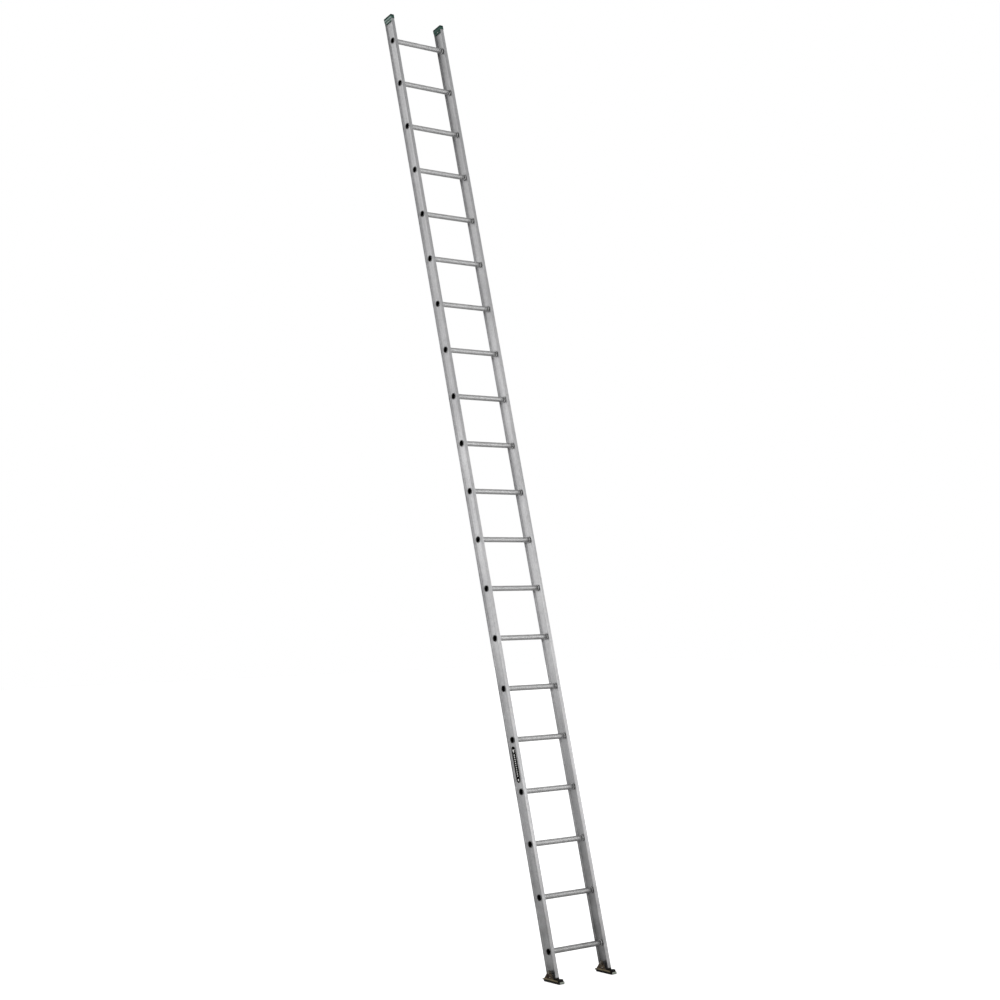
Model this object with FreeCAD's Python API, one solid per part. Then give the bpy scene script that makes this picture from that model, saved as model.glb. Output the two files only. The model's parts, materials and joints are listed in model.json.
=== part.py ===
import FreeCAD, Part
import math
import os

# Straight aluminium ladder with swivelling safety shoes, millimetres.
# World frame: floor at z = 0, +X along the rungs, +Y toward the wall, +Z up.
# Rails, rungs and caps are drawn in the ladder frame, whose origin is the shoe
# pivot line and whose +Z runs up the rails, and are then leaned back.

V = FreeCAD.Vector
X, Y, Z = V(1, 0, 0), V(0, 1, 0), V(0, 0, 1)
PAST = 1.0                    # how far a cutting tool runs past a face
NEAR = 0.01                   # tolerance when picking edges by position

# overall layout
LEAN_DEG = 14.5
RUNG_COUNT = 20
RUNG_PITCH = 304.8
RUNG_TO_RAIL_END = 152.4
RAIL_SPACING = 396.0          # between the centre planes of the two webs

# rail extrusion
RAIL_DEPTH = 76.2
FLANGE_WIDTH = 24.0
FLANGE_THICK = 2.3
WEB_THICK = 2.0
ROOT_RADIUS = 2.5
TIP_RADIUS = 0.9
FRONT_CORNER_CUT = 5.0

# rungs
RUNG_DIA = 31.75
RUNG_WALL = 1.5
RUNG_HOLE_CLEARANCE = 0.05
BEAD_RISE = 3.4               # the bead stands this far outside the tube
BEAD_LENGTH = 4.5
FLARE_RISE = 4.2              # and the flared mouth this far
FLARE_LENGTH = 3.0
FLARE_LIP = 1.1
RIB_COUNT = 28
RIB_GROOVE_WIDTH = 1.3
RIB_GROOVE_DEPTH = 0.55
RIB_END_MARGIN = 16.0

# top caps
CAP_RISE = 18.0
CAP_SKIRT = 9.0
CAP_OVERHANG = 2.8
CAP_CORNER_RADIUS = 6.0
CAP_EDGE_RADIUS = 3.5
CAP_CLEARANCE = 0.15
TONGUE_DROP = 23.0
TONGUE_RECESS = 3.0           # tongue face set back from the flange tips
CAP_RIVET_DROP = 15.0
CAP_RIVET_DIA = 4.0
CAP_RIVET_HEAD_DIA = 7.5
CAP_RIVET_HEAD_HEIGHT = 1.7

# name plate on the outside of the left rail
PLATE_TO_RUNG = 28.5          # from each end of the plate to the rung tubes
PLATE_WIDTH = 37.0
PLATE_THICK = 0.9
PLATE_ABOVE_RUNG = 4
PLATE_SHIFT = 8.0             # up from halfway between two rungs
PLATE_SETBACK = 6.0           # toward the rear flange
PLATE_RIM = 1.6
PLATE_RIM_HEIGHT = 0.35

# shoes
PIVOT_DIA = 9.5
PIVOT_CLEARANCE = 0.06
SIDE_GAP = 0.35               # between ear faces and washers or spacers
PLATE_BELOW_RAIL = 7.9        # pivot to plate is half the rail depth plus this
END_ABOVE_PLATE = 6.0
SWING_CLEARANCE = 1.5
SHOE_WIDTH = 45.0
TOE_AHEAD_OF_RAIL = 48.9
HEEL_BEHIND_RAIL = 22.9
SHEET = 2.5
BEND_RADIUS = 4.0
SIDE_WALL = 12.0
HEEL_CHAMFER = 4.0
EAR_RADIUS = 12.5
EAR_FOOT_BEHIND_RAIL = 5.9
EAR_FOOT_FRONT = 36.0
WALL_FRONT_SETBACK = 18.5
WALL_EASE = 6.0               # slope where a side wall runs out toward the toe
NOSE_INSET = 6.0
NOSE_TAPER = 12.0
SPUR_DROP = 6.4
SPUR_RISE = 3.6               # turned-up front edge above the plate
SPUR_EDGE_RADIUS = 1.0
SPUR_TEETH = 5
TOOTH_GAP_SHARE = 0.64        # of the tooth pitch
TOOTH_DEPTH_SHARE = 0.6
PAD_THICK = 8.0
PAD_INSET = 1.0
PAD_FRONT_SETBACK = 3.2
PAD_REAR_SETBACK = 8.0
PAD_CORNER_RADIUS = 6.0
TREAD_PITCH = 9.0
TREAD_WIDTH = 3.2
TREAD_DEPTH = 2.4
TOE_LUG_STRAIGHT = 6.4        # between the two round ends of the oval lug
LUG_CLEARANCE = 0.3
TOE_LUG_RISE = 15.0
TOE_LUG_RIM = 5.0
TOE_POCKET_DEPTH = 3.5
LUG_CROWN_RADIUS = 2.0
TOE_SLOT_LENGTH = 12.0
TOE_SLOT_INSET = 9.5
PAD_RIVET_DIA = 4.0
PAD_RIVET_HEAD_DIA = 7.0
PAD_RIVET_TO_BEND = 1.0
PAD_WELL_CLEARANCE = 0.2
PAD_RIVET_AHEAD_OF_RAIL = 7.9
PAD_RIVET_BEHIND_RAIL = 4.9
RIVET_HEAD_HEIGHT = 1.7
EAR_RIVET_DIA = 5.0
EAR_RIVET_HEAD_DIA = 9.5
EAR_RIVET_ABOVE_PLATE = 20.0
EAR_RIVET_Y = -5.0
SPACER_DIA = 17.0
WASHER_DIA = 20.0
WASHER_THICK = 1.8
HEX_ACROSS_FLATS = 14.3
HEAD_THICK = 6.0
NUT_THICK = 8.0
THREAD_SHOWS = 3.0
THREAD_CHAMFER = 1.0

# derived sizes
PLATE_DROP = RAIL_DEPTH / 2 + PLATE_BELOW_RAIL
PIVOT_TO_END = PLATE_DROP - END_ABOVE_PLATE
PIVOT_HEIGHT = PLATE_DROP + SHEET + PAD_THICK
RAIL_LENGTH = 2 * RUNG_TO_RAIL_END + (RUNG_COUNT - 1) * RUNG_PITCH
RAIL_BOTTOM = -PIVOT_TO_END
RAIL_TOP = RAIL_BOTTOM + RAIL_LENGTH
EAR_INNER = SHOE_WIDTH / 2 - SHEET
SHOE_FRONT = RAIL_DEPTH / 2 + TOE_AHEAD_OF_RAIL
SHOE_REAR = RAIL_DEPTH / 2 + HEEL_BEHIND_RAIL
EAR_FOOT_REAR = RAIL_DEPTH / 2 + EAR_FOOT_BEHIND_RAIL
SPUR_WIDTH = SHOE_WIDTH - 2 * NOSE_INSET
PAD_WIDTH = SHOE_WIDTH - 2 * PAD_INSET
SHEET_UNDERSIDE = -PLATE_DROP - SHEET
TOE_LUG_WIDTH = SHOE_WIDTH - 2 * (BEND_RADIUS + LUG_CLEARANCE)
TOE_LUG_LENGTH = TOE_LUG_WIDTH - TOE_LUG_STRAIGHT
TOE_CENTRE = SHEET + LUG_CLEARANCE + TOE_LUG_LENGTH / 2 - SHOE_FRONT
EAR_RIVET_HEIGHT = EAR_RIVET_ABOVE_PLATE - PLATE_DROP
TOE_SLOT_WIDTH = SHOE_WIDTH - 2 * TOE_SLOT_INSET
PAD_RIVET_X = SHOE_WIDTH / 2 - BEND_RADIUS - PAD_RIVET_HEAD_DIA / 2 - PAD_RIVET_TO_BEND
PAD_RIVET_Y = (-RAIL_DEPTH / 2 - PAD_RIVET_AHEAD_OF_RAIL, RAIL_DEPTH / 2 + PAD_RIVET_BEHIND_RAIL)
PAD_RIVET_SPOTS = [(side * PAD_RIVET_X, y) for side in (-1, 1) for y in PAD_RIVET_Y]
PLATE_LENGTH = RUNG_PITCH - RUNG_DIA - 2 * PLATE_TO_RUNG
SIDES = {"left": -1, "right": 1}


def box(x0, x1, y0, y1, z0, z1):
    """Block between two corners."""
    return Part.makeBox(x1 - x0, y1 - y0, z1 - z0, V(x0, y0, z0))


def rod(radius, x0, x1, y=0.0, z=0.0):
    """Cylinder along X."""
    return Part.makeCylinder(radius, x1 - x0, V(x0, y, z), X)


def post(radius, z0, z1, x=0.0, y=0.0):
    """Cylinder along Z."""
    return Part.makeCylinder(radius, z1 - z0, V(x, y, z0), Z)


def prism(points, vector):
    """Closed polygon swept along a vector."""
    return Part.Face(Part.makePolygon(points + points[:1])).extrude(vector)


def side_prism(points, x0, x1):
    """Polygon of (y, z) points swept across X."""
    return prism([V(x0, y, z) for y, z in points], V(x1 - x0, 0, 0))


def slot_prism(length, width, z0, z1, y=0.0):
    """Oval block, its length along X."""
    half = (length - width) / 2
    oval = box(-half, half, y - width / 2, y + width / 2, z0, z1)
    for x in (-half, half):
        oval = oval.fuse(post(width / 2, z0, z1, x, y))
    return oval.removeSplitter()


def turned(profile, axis_y=0.0, axis_z=0.0):
    """Solid of revolution about a line along X from (x, radius) points."""
    points = [V(x, axis_y + r, axis_z) for x, r in profile]
    face = Part.Face(Part.makePolygon(points + points[:1]))
    return face.revolve(V(0, axis_y, axis_z), X, 360)


def dome(radius, height, base, direction):
    """Low rounded rivet head standing on a plane."""
    sphere = (radius ** 2 + height ** 2) / (2 * height)
    centre = base - direction * (sphere - height)
    ball = Part.makeSphere(sphere, centre)
    return ball.common(Part.makeCylinder(radius, height, base, direction))


def edges_along(shape, direction, test):
    """Straight edges parallel to a direction whose middle passes a test."""
    found = []
    for edge in shape.Edges:
        if len(edge.Vertexes) < 2:
            continue
        run = edge.Vertexes[1].Point - edge.Vertexes[0].Point
        if run.Length and abs(abs(run.dot(direction)) - run.Length) < NEAR:
            if test(edge.CenterOfMass):
                found.append(edge)
    return found


def i_beam(grow, z0, z1):
    """Rail section standing on z0, every face moved outward by grow."""
    depth = RAIL_DEPTH / 2 + grow
    inner = RAIL_DEPTH / 2 - FLANGE_THICK - grow
    tip = FLANGE_WIDTH / 2 + grow
    web = WEB_THICK / 2 + grow
    half = [(tip, depth), (tip, inner), (web, inner)]
    quarter = half + [(x, -y) for x, y in reversed(half)]
    outline = quarter + [(-x, -y) for x, y in quarter]
    beam = prism([V(x, y, z0) for x, y in outline], V(0, 0, z1 - z0))
    roots = edges_along(beam, Z, lambda p: abs(p.x) < web + NEAR)
    beam = beam.makeFillet(ROOT_RADIUS - grow, roots)
    tips = edges_along(beam, Z, lambda p: abs(p.x) > tip - NEAR)
    return beam.makeFillet(TIP_RADIUS, tips)


def rung_heights():
    first = RAIL_BOTTOM + RUNG_TO_RAIL_END
    return [first + i * RUNG_PITCH for i in range(RUNG_COUNT)]


def make_rail():
    """One rail about its own web plane."""
    rail = i_beam(0, RAIL_BOTTOM, RAIL_TOP)
    swing = PLATE_DROP - SWING_CLEARANCE
    half, far = RAIL_DEPTH / 2, FLANGE_WIDTH
    rear_z = -math.sqrt(swing ** 2 - half ** 2)
    rear_y = math.sqrt(swing ** 2 - PIVOT_TO_END ** 2)
    low, out = RAIL_BOTTOM - PAST, half + PAST
    rear = [(out, low), (rear_y, low), (rear_y, RAIL_BOTTOM), (half, rear_z), (out, rear_z)]
    cut = FRONT_CORNER_CUT
    front = [(-out, low), (cut - half, low), (cut - half, RAIL_BOTTOM),
             (-half, RAIL_BOTTOM + cut), (-out, RAIL_BOTTOM + cut)]
    tools = [side_prism(rear, -far, far), side_prism(front, -far, far)]
    hole = RUNG_DIA / 2 + RUNG_HOLE_CLEARANCE
    tools += [rod(hole, -far, far, 0, z) for z in rung_heights()]
    tools.append(rod(PIVOT_DIA / 2 + PIVOT_CLEARANCE, -far, far))
    tools.append(rod(CAP_RIVET_DIA / 2, -far, far, 0, RAIL_TOP - CAP_RIVET_DROP))
    return rail.cut(Part.makeCompound(tools))


def make_rung():
    """Ribbed tube with a bead inside and a flared mouth outside each web."""
    outer = RUNG_DIA / 2
    inner = outer - RUNG_WALL
    web_in = RAIL_SPACING / 2 - WEB_THICK / 2
    web_out = RAIL_SPACING / 2 + WEB_THICK / 2
    bead_start = web_in - BEAD_LENGTH - BEAD_RISE
    lip = outer + FLARE_RISE
    half = [
        (bead_start, outer),
        (web_in - BEAD_LENGTH, outer + BEAD_RISE),
        (web_in, outer + BEAD_RISE),
        (web_in, outer),
        (web_out, outer),
        (web_out, lip),
        (web_out + FLARE_LENGTH - FLARE_LIP, lip),
        (web_out + FLARE_LENGTH, lip - FLARE_LIP),
        (web_out, inner),
    ]
    mirrored = [(-x, r) for x, r in reversed(half)]
    tube = turned(half + mirrored)
    groove_half = bead_start - RIB_END_MARGIN
    grooves = []
    for i in range(RIB_COUNT):
        groove = box(-groove_half, groove_half, -RIB_GROOVE_WIDTH / 2, RIB_GROOVE_WIDTH / 2,
                     outer - RIB_GROOVE_DEPTH, outer + PAST)
        groove.rotate(V(0, 0, 0), X, 360.0 * i / RIB_COUNT)
        grooves.append(groove)
    return tube.cut(Part.makeCompound(grooves))


def make_cap():
    """Moulded end cap about its rail's web plane."""
    wide = FLANGE_WIDTH / 2 + CAP_OVERHANG
    deep = RAIL_DEPTH / 2 + CAP_OVERHANG
    top = RAIL_TOP + CAP_RISE
    block = box(-wide, wide, -deep, deep, RAIL_TOP - CAP_SKIRT, top)
    block = block.makeFillet(CAP_CORNER_RADIUS, edges_along(block, Z, lambda p: True))
    rim = [e for e in block.Edges if min(v.Point.z for v in e.Vertexes) > top - NEAR]
    block = block.makeFillet(CAP_EDGE_RADIUS, rim)
    tongue_x = FLANGE_WIDTH / 2 - TONGUE_RECESS
    tongue_y = RAIL_DEPTH / 2 - FLANGE_THICK - ROOT_RADIUS - CAP_CLEARANCE
    tongue = box(-tongue_x, tongue_x, -tongue_y, tongue_y, RAIL_TOP - TONGUE_DROP, RAIL_TOP)
    feet = edges_along(tongue, X, lambda p: p.z < RAIL_TOP - TONGUE_DROP + NEAR)
    tongue = tongue.makeFillet(CAP_CORNER_RADIUS, feet)
    beam = i_beam(CAP_CLEARANCE, RAIL_TOP - TONGUE_DROP - PAST, RAIL_TOP)
    cap = block.fuse(tongue).cut(beam)
    return cap.cut(rod(CAP_RIVET_DIA / 2, -wide, wide, 0, RAIL_TOP - CAP_RIVET_DROP))


def make_cap_rivet():
    """Through rivet with a rounded head on each tongue face."""
    reach = FLANGE_WIDTH / 2 - TONGUE_RECESS
    height = RAIL_TOP - CAP_RIVET_DROP
    rivet = rod(CAP_RIVET_DIA / 2, -reach, reach, 0, height)
    for side in (-1, 1):
        base = V(side * reach, 0, height)
        rivet = rivet.fuse(dome(CAP_RIVET_HEAD_DIA / 2, CAP_RIVET_HEAD_HEIGHT, base, X * side))
    return rivet.removeSplitter()


def make_name_plate():
    """Pill-shaped plate with a raised rim, on the outside of the left web."""
    def pill(length, width, x0, x1):
        slab = slot_prism(length, width, x0, x1)
        slab.rotate(V(0, 0, 0), Y, -90)
        return slab

    face_x = RAIL_SPACING / 2 + WEB_THICK / 2
    plate = pill(PLATE_LENGTH, PLATE_WIDTH, 0, PLATE_THICK)
    rim = pill(PLATE_LENGTH, PLATE_WIDTH, PLATE_THICK, PLATE_THICK + PLATE_RIM_HEIGHT)
    rim = rim.cut(pill(PLATE_LENGTH - 2 * PLATE_RIM, PLATE_WIDTH - 2 * PLATE_RIM, 0, PLATE_THICK * 2))
    plate = plate.fuse(rim)
    height = rung_heights()[PLATE_ABOVE_RUNG - 1] + RUNG_PITCH / 2 + PLATE_SHIFT
    plate.translate(V(-face_x, PLATE_SETBACK, height))
    return plate


def tangent_point(y, z, radius, forward):
    """Where a line from (y, z) touches a circle about the pivot."""
    distance = math.hypot(y, z)
    spread = math.acos(radius / distance)
    angle = math.atan2(z, y) + (-spread if forward else spread)
    return radius * math.cos(angle), radius * math.sin(angle)


def make_bracket():
    """Pressed shoe body about the pivot: channel, two ears and a toothed spur."""
    half, floor, top = SHOE_WIDTH / 2, SHEET_UNDERSIDE, EAR_RADIUS
    outer = box(-half, half, -SHOE_FRONT, SHOE_REAR, floor, top)
    outer = outer.makeFillet(BEND_RADIUS, edges_along(outer, Y, lambda p: p.z < floor + NEAR))
    inner = box(-EAR_INNER, EAR_INNER, -SHOE_FRONT, SHOE_REAR, floor + SHEET, top)
    bends = edges_along(inner, Y, lambda p: p.z < floor + SHEET + NEAR)
    inner = inner.makeFillet(BEND_RADIUS - SHEET, bends)
    channel = outer.cut(inner)

    wall = floor + SIDE_WALL
    low = floor + BEND_RADIUS
    front = WALL_FRONT_SETBACK - SHOE_FRONT
    rear_foot = (EAR_FOOT_REAR, wall)
    front_foot = (-EAR_FOOT_FRONT, wall)
    silhouette = [
        (-SHOE_FRONT, floor), (SHOE_REAR, floor), (SHOE_REAR, low),
        (SHOE_REAR - HEEL_CHAMFER, low + HEEL_CHAMFER),
        rear_foot, tangent_point(*rear_foot, EAR_RADIUS, False),
        tangent_point(*front_foot, EAR_RADIUS, True), front_foot,
        (front, wall), (front - WALL_EASE, low), (-SHOE_FRONT, low),
    ]
    profile = side_prism(silhouette, -half, half).fuse(rod(EAR_RADIUS, -half, half))
    bracket = channel.common(profile)

    ahead, nose_x = -SHOE_FRONT - PAST, SPUR_WIDTH / 2
    nose = [(half, ahead), (nose_x, ahead), (nose_x, -SHOE_FRONT), (half, NOSE_TAPER - SHOE_FRONT)]
    for side in (-1, 1):
        corner = prism([V(side * (x + NEAR), y, floor - PAST) for x, y in nose], V(0, 0, top - floor))
        bracket = bracket.cut(corner)
    front_strip = box(-half, half, ahead, SHEET - SHOE_FRONT, floor - NEAR, top)
    bracket = bracket.cut(front_strip).fuse(make_spur()).removeSplitter()

    out, under, over = half + PAST, floor - PAST, floor + SHEET + PAST
    tools = [rod(PIVOT_DIA / 2 + PIVOT_CLEARANCE, -out, out)]
    tools.append(rod(EAR_RIVET_DIA / 2, -out, out, EAR_RIVET_Y, EAR_RIVET_HEIGHT))
    tools.append(slot_prism(TOE_SLOT_WIDTH, TOE_SLOT_LENGTH, under, over, TOE_CENTRE))
    tools += [post(PAD_RIVET_DIA / 2, under, over, x, y) for x, y in PAD_RIVET_SPOTS]
    return bracket.cut(Part.makeCompound(tools))


def make_spur():
    """Toothed front edge of the bracket, turned up above the plate."""
    low, high = SHEET_UNDERSIDE - SPUR_DROP, SHEET_UNDERSIDE + SHEET + SPUR_RISE
    spur = box(-SPUR_WIDTH / 2, SPUR_WIDTH / 2, -SHOE_FRONT, SHEET - SHOE_FRONT, low, high)
    spur = spur.makeFillet(SPUR_EDGE_RADIUS, edges_along(spur, X, lambda p: p.z > high - NEAR))
    step = SPUR_WIDTH / SPUR_TEETH
    gap, ahead = step * TOOTH_GAP_SHARE / 2, -SHOE_FRONT - PAST
    for i in range(SPUR_TEETH):
        middle = (i + 0.5) * step - SPUR_WIDTH / 2
        notch = [V(middle - gap, ahead, low - NEAR), V(middle + gap, ahead, low - NEAR),
                 V(middle, ahead, low + step * TOOTH_DEPTH_SHARE)]
        spur = spur.cut(prism(notch, V(0, SHEET + 2 * PAST, 0)))
    return spur


def make_pad():
    """Moulded rubber sole with cross treads and a hollow lug that keys into the toe slot."""
    half, top = PAD_WIDTH / 2, SHEET_UNDERSIDE
    floor, out = top - PAD_THICK, half + PAST
    front, rear = PAD_FRONT_SETBACK - SHOE_FRONT, SHOE_REAR - PAD_REAR_SETBACK
    pad = box(-half, half, front, rear, floor, top)
    pad = pad.makeFillet(PAD_CORNER_RADIUS, edges_along(pad, Z, lambda p: True))
    count = int((rear - front - TREAD_PITCH) / TREAD_PITCH)
    start = (front + rear - (count - 1) * TREAD_PITCH - TREAD_WIDTH) / 2
    grooves = []
    for i in range(count):
        y = start + i * TREAD_PITCH
        grooves.append(box(-out, out, y, y + TREAD_WIDTH, floor - PAST, floor + TREAD_DEPTH))
    pad = pad.cut(Part.makeCompound(grooves))
    plate_top = top + SHEET
    neck = slot_prism(TOE_SLOT_WIDTH, TOE_SLOT_LENGTH, top, plate_top, TOE_CENTRE)
    pad = pad.fuse([neck, make_toe_lug(plate_top)])
    shanks = [post(PAD_RIVET_DIA / 2, floor - PAST, top + PAST, x, y) for x, y in PAD_RIVET_SPOTS]
    well = PAD_RIVET_HEAD_DIA / 2 + PAD_WELL_CLEARANCE
    wells = [post(well, floor - PAST, floor + PAD_THICK / 2, x, y) for x, y in PAD_RIVET_SPOTS]
    return pad.cut(Part.makeCompound(shanks + wells))


def make_toe_lug(base):
    """Oval lug standing on the plate, with a pocket in its crown."""
    crown = base + TOE_LUG_RISE
    lug = slot_prism(TOE_LUG_WIDTH, TOE_LUG_LENGTH, base, crown, TOE_CENTRE)
    rim = [e for e in lug.Edges if min(v.Point.z for v in e.Vertexes) > crown - NEAR]
    lug = lug.makeFillet(LUG_CROWN_RADIUS, rim)
    pocket = slot_prism(TOE_LUG_WIDTH - 2 * TOE_LUG_RIM, TOE_LUG_LENGTH - 2 * TOE_LUG_RIM,
                        crown - TOE_POCKET_DEPTH, crown + PAST, TOE_CENTRE)
    return lug.cut(pocket)


def make_pad_rivets():
    """Rivets that hold a sole, heads on the plate and in wells under the sole."""
    plate_top = -PLATE_DROP
    well_top = SHEET_UNDERSIDE - PAD_THICK / 2
    rivets = []
    for x, y in PAD_RIVET_SPOTS:
        rivet = post(PAD_RIVET_DIA / 2, well_top, plate_top, x, y)
        rivet = rivet.fuse(dome(PAD_RIVET_HEAD_DIA / 2, RIVET_HEAD_HEIGHT, V(x, y, plate_top), Z))
        rivet = rivet.fuse(dome(PAD_RIVET_HEAD_DIA / 2, RIVET_HEAD_HEIGHT, V(x, y, well_top), -Z))
        rivets.append(rivet)
    return rivets


def make_ear_rivets():
    """Bright rivets low on the ears, one in each."""
    outer, height = SHOE_WIDTH / 2, EAR_RIVET_HEIGHT
    rivets = []
    for side in (-1, 1):
        ends = sorted((side * EAR_INNER, side * outer))
        rivet = rod(EAR_RIVET_DIA / 2, *ends, EAR_RIVET_Y, height)
        for x, way in ((side * outer, side), (side * EAR_INNER, -side)):
            base = V(x, EAR_RIVET_Y, height)
            rivet = rivet.fuse(dome(EAR_RIVET_HEAD_DIA / 2, RIVET_HEAD_HEIGHT, base, X * way))
        rivets.append(rivet)
    return rivets


def hexagon(x0, x1, bevel_out):
    """Hexagonal block along X with its outer corners turned off."""
    corner = HEX_ACROSS_FLATS / math.sqrt(3)
    angles = [math.radians(60 * i) for i in range(6)]
    points = [(corner * math.cos(a), corner * math.sin(a)) for a in angles]
    block = side_prism(points, x0, x1)
    slope = corner - HEX_ACROSS_FLATS / 2
    if bevel_out > 0:
        profile = [(x0, 0), (x0, corner), (x1 - slope / 2, corner), (x1, HEX_ACROSS_FLATS / 2), (x1, 0)]
    else:
        profile = [(x1, 0), (x1, corner), (x0 + slope / 2, corner), (x0, HEX_ACROSS_FLATS / 2), (x0, 0)]
    return block.common(turned(profile))


def make_pivot(outward):
    """Bolt, spacers, washers and nut on one pivot; outward is the head side."""
    ear_out = SHOE_WIDTH / 2 + SIDE_GAP
    seat = ear_out + WASHER_THICK
    hole = PIVOT_DIA / 2 + PIVOT_CLEARANCE
    web = WEB_THICK / 2
    end = -outward * (seat + NUT_THICK + THREAD_SHOWS)
    shank = rod(PIVOT_DIA / 2, *sorted((outward * seat, end)))
    tip = edges_round_end(shank, end)
    shank = shank.makeChamfer(THREAD_CHAMFER, tip)
    head = hexagon(*sorted((outward * seat, outward * (seat + HEAD_THICK))), outward)
    bolt = shank.fuse(head)
    nut = hexagon(*sorted((-outward * seat, -outward * (seat + NUT_THICK))), -outward)
    nut = nut.cut(rod(PIVOT_DIA / 2, -seat - NUT_THICK, seat + NUT_THICK))
    spacers, washers = [], []
    for side in (-1, 1):
        ends = sorted((side * web, side * (EAR_INNER - SIDE_GAP)))
        spacers.append(rod(SPACER_DIA / 2, *ends).cut(rod(hole, *ends)))
        ends = sorted((side * ear_out, side * seat))
        washers.append(rod(WASHER_DIA / 2, *ends).cut(rod(hole, *ends)))
    return bolt, nut, spacers, washers


def edges_round_end(shape, x):
    """Round edges lying in the plane at x."""
    return [e for e in shape.Edges if abs(e.CenterOfMass.x - x) < NEAR and e.BoundBox.XLength < NEAR]


def lean_back(shape):
    """From the ladder frame to the world frame."""
    placed = shape.copy()
    placed.rotate(V(0, 0, 0), X, -LEAN_DEG)
    placed.translate(V(0, 0, PIVOT_HEIGHT))
    return placed


def stand_up(shape, x):
    """From the shoe frame to the world frame, at one rail."""
    placed = shape.copy()
    placed.translate(V(x, 0, PIVOT_HEIGHT))
    return placed


def save(name, solids):
    """Write one node; solids is one shape or a list of them."""
    shape = solids[0] if len(solids) == 1 else Part.makeCompound(solids)
    shape.exportStep("parts/" + name + ".step")


def main():
    os.makedirs("parts", exist_ok=True)
    rail, rung, cap, cap_rivet = make_rail(), make_rung(), make_cap(), make_cap_rivet()
    bracket, pad = make_bracket(), make_pad()
    pad_rivets, ear_rivets = make_pad_rivets(), make_ear_rivets()
    cap_rivets = []
    for side, sign in SIDES.items():
        x = sign * RAIL_SPACING / 2
        for name, shape in (("rail_", rail), ("top_cap_", cap)):
            moved = shape.copy()
            moved.translate(V(x, 0, 0))
            save(name + side, [lean_back(moved)])
        moved = cap_rivet.copy()
        moved.translate(V(x, 0, 0))
        cap_rivets.append(lean_back(moved))
        bolt, nut, spacers, washers = make_pivot(sign)
        groups = {
            "shoe_bracket_": [bracket],
            "shoe_pad_": [pad],
            "shoe_pad_rivets_": pad_rivets,
            "shoe_ear_rivets_": ear_rivets,
            "pivot_bolt_": [bolt],
            "pivot_nut_": [nut],
            "pivot_spacers_": spacers,
            "pivot_washers_": washers,
        }
        for name, shapes in groups.items():
            save(name + side, [stand_up(shape, x) for shape in shapes])
    save("top_cap_rivets", cap_rivets)
    save("name_plate", [lean_back(make_name_plate())])
    for number, height in enumerate(rung_heights(), 1):
        placed = rung.copy()
        placed.translate(V(0, 0, height))
        save("rung_%02d" % number, [lean_back(placed)])


main()
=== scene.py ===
"""Straight aluminium ladder: finishes, name plate marks and studio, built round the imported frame."""

import json
import math
import random

import bpy
import bmesh
from bpy.props import FloatProperty, FloatVectorProperty, IntProperty, PointerProperty
from mathutils import Matrix, Quaternion, Vector


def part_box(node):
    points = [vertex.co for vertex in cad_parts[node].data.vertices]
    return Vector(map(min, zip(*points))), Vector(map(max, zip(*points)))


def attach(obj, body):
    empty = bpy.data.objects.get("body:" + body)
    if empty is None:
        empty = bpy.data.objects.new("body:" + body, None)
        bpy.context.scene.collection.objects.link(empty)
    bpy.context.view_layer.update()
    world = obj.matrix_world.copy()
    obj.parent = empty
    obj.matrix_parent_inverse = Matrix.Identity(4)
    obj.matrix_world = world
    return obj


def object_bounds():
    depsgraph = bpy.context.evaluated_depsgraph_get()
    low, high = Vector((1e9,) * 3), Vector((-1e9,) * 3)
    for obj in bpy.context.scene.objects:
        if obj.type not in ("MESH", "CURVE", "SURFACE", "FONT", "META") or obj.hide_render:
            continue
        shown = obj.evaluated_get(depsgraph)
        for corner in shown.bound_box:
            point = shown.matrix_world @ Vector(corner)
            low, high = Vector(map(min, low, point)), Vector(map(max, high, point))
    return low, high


bl_info = {
    "name": "Aluminium Ladder",
    "version": (1, 0, 0),
    "blender": (4, 5, 0),
    "location": "View3D > Sidebar > Ladder",
    "description": "Finishes, printed plate and studio for a straight aluminium ladder",
    "category": "Object",
}

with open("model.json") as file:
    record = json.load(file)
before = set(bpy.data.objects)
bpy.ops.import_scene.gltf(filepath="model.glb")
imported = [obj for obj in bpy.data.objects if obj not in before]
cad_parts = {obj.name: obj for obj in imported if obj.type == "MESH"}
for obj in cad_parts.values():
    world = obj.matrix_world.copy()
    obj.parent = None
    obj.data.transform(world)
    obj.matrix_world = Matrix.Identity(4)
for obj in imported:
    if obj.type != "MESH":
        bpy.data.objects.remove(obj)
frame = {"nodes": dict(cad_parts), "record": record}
CAD_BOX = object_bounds()
NODES = frame["nodes"]
SIDES = ("left", "right")


def mount(name):
    """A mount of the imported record, by name."""
    return next(m for m in frame["record"]["mounts"] if m["name"] == name)


WALL_NORMAL = Vector(mount("wall_rest_left")["axis"])
LEAN = math.atan2(-WALL_NORMAL.z, WALL_NORMAL.y)
RAIL_UP = Vector((0, math.sin(LEAN), math.cos(LEAN)))
RAIL_ACROSS = Vector((0, math.cos(LEAN), -math.sin(LEAN)))
UP = Vector((0, 0, 1))
AHEAD = Vector((0, -1, 0))

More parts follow.
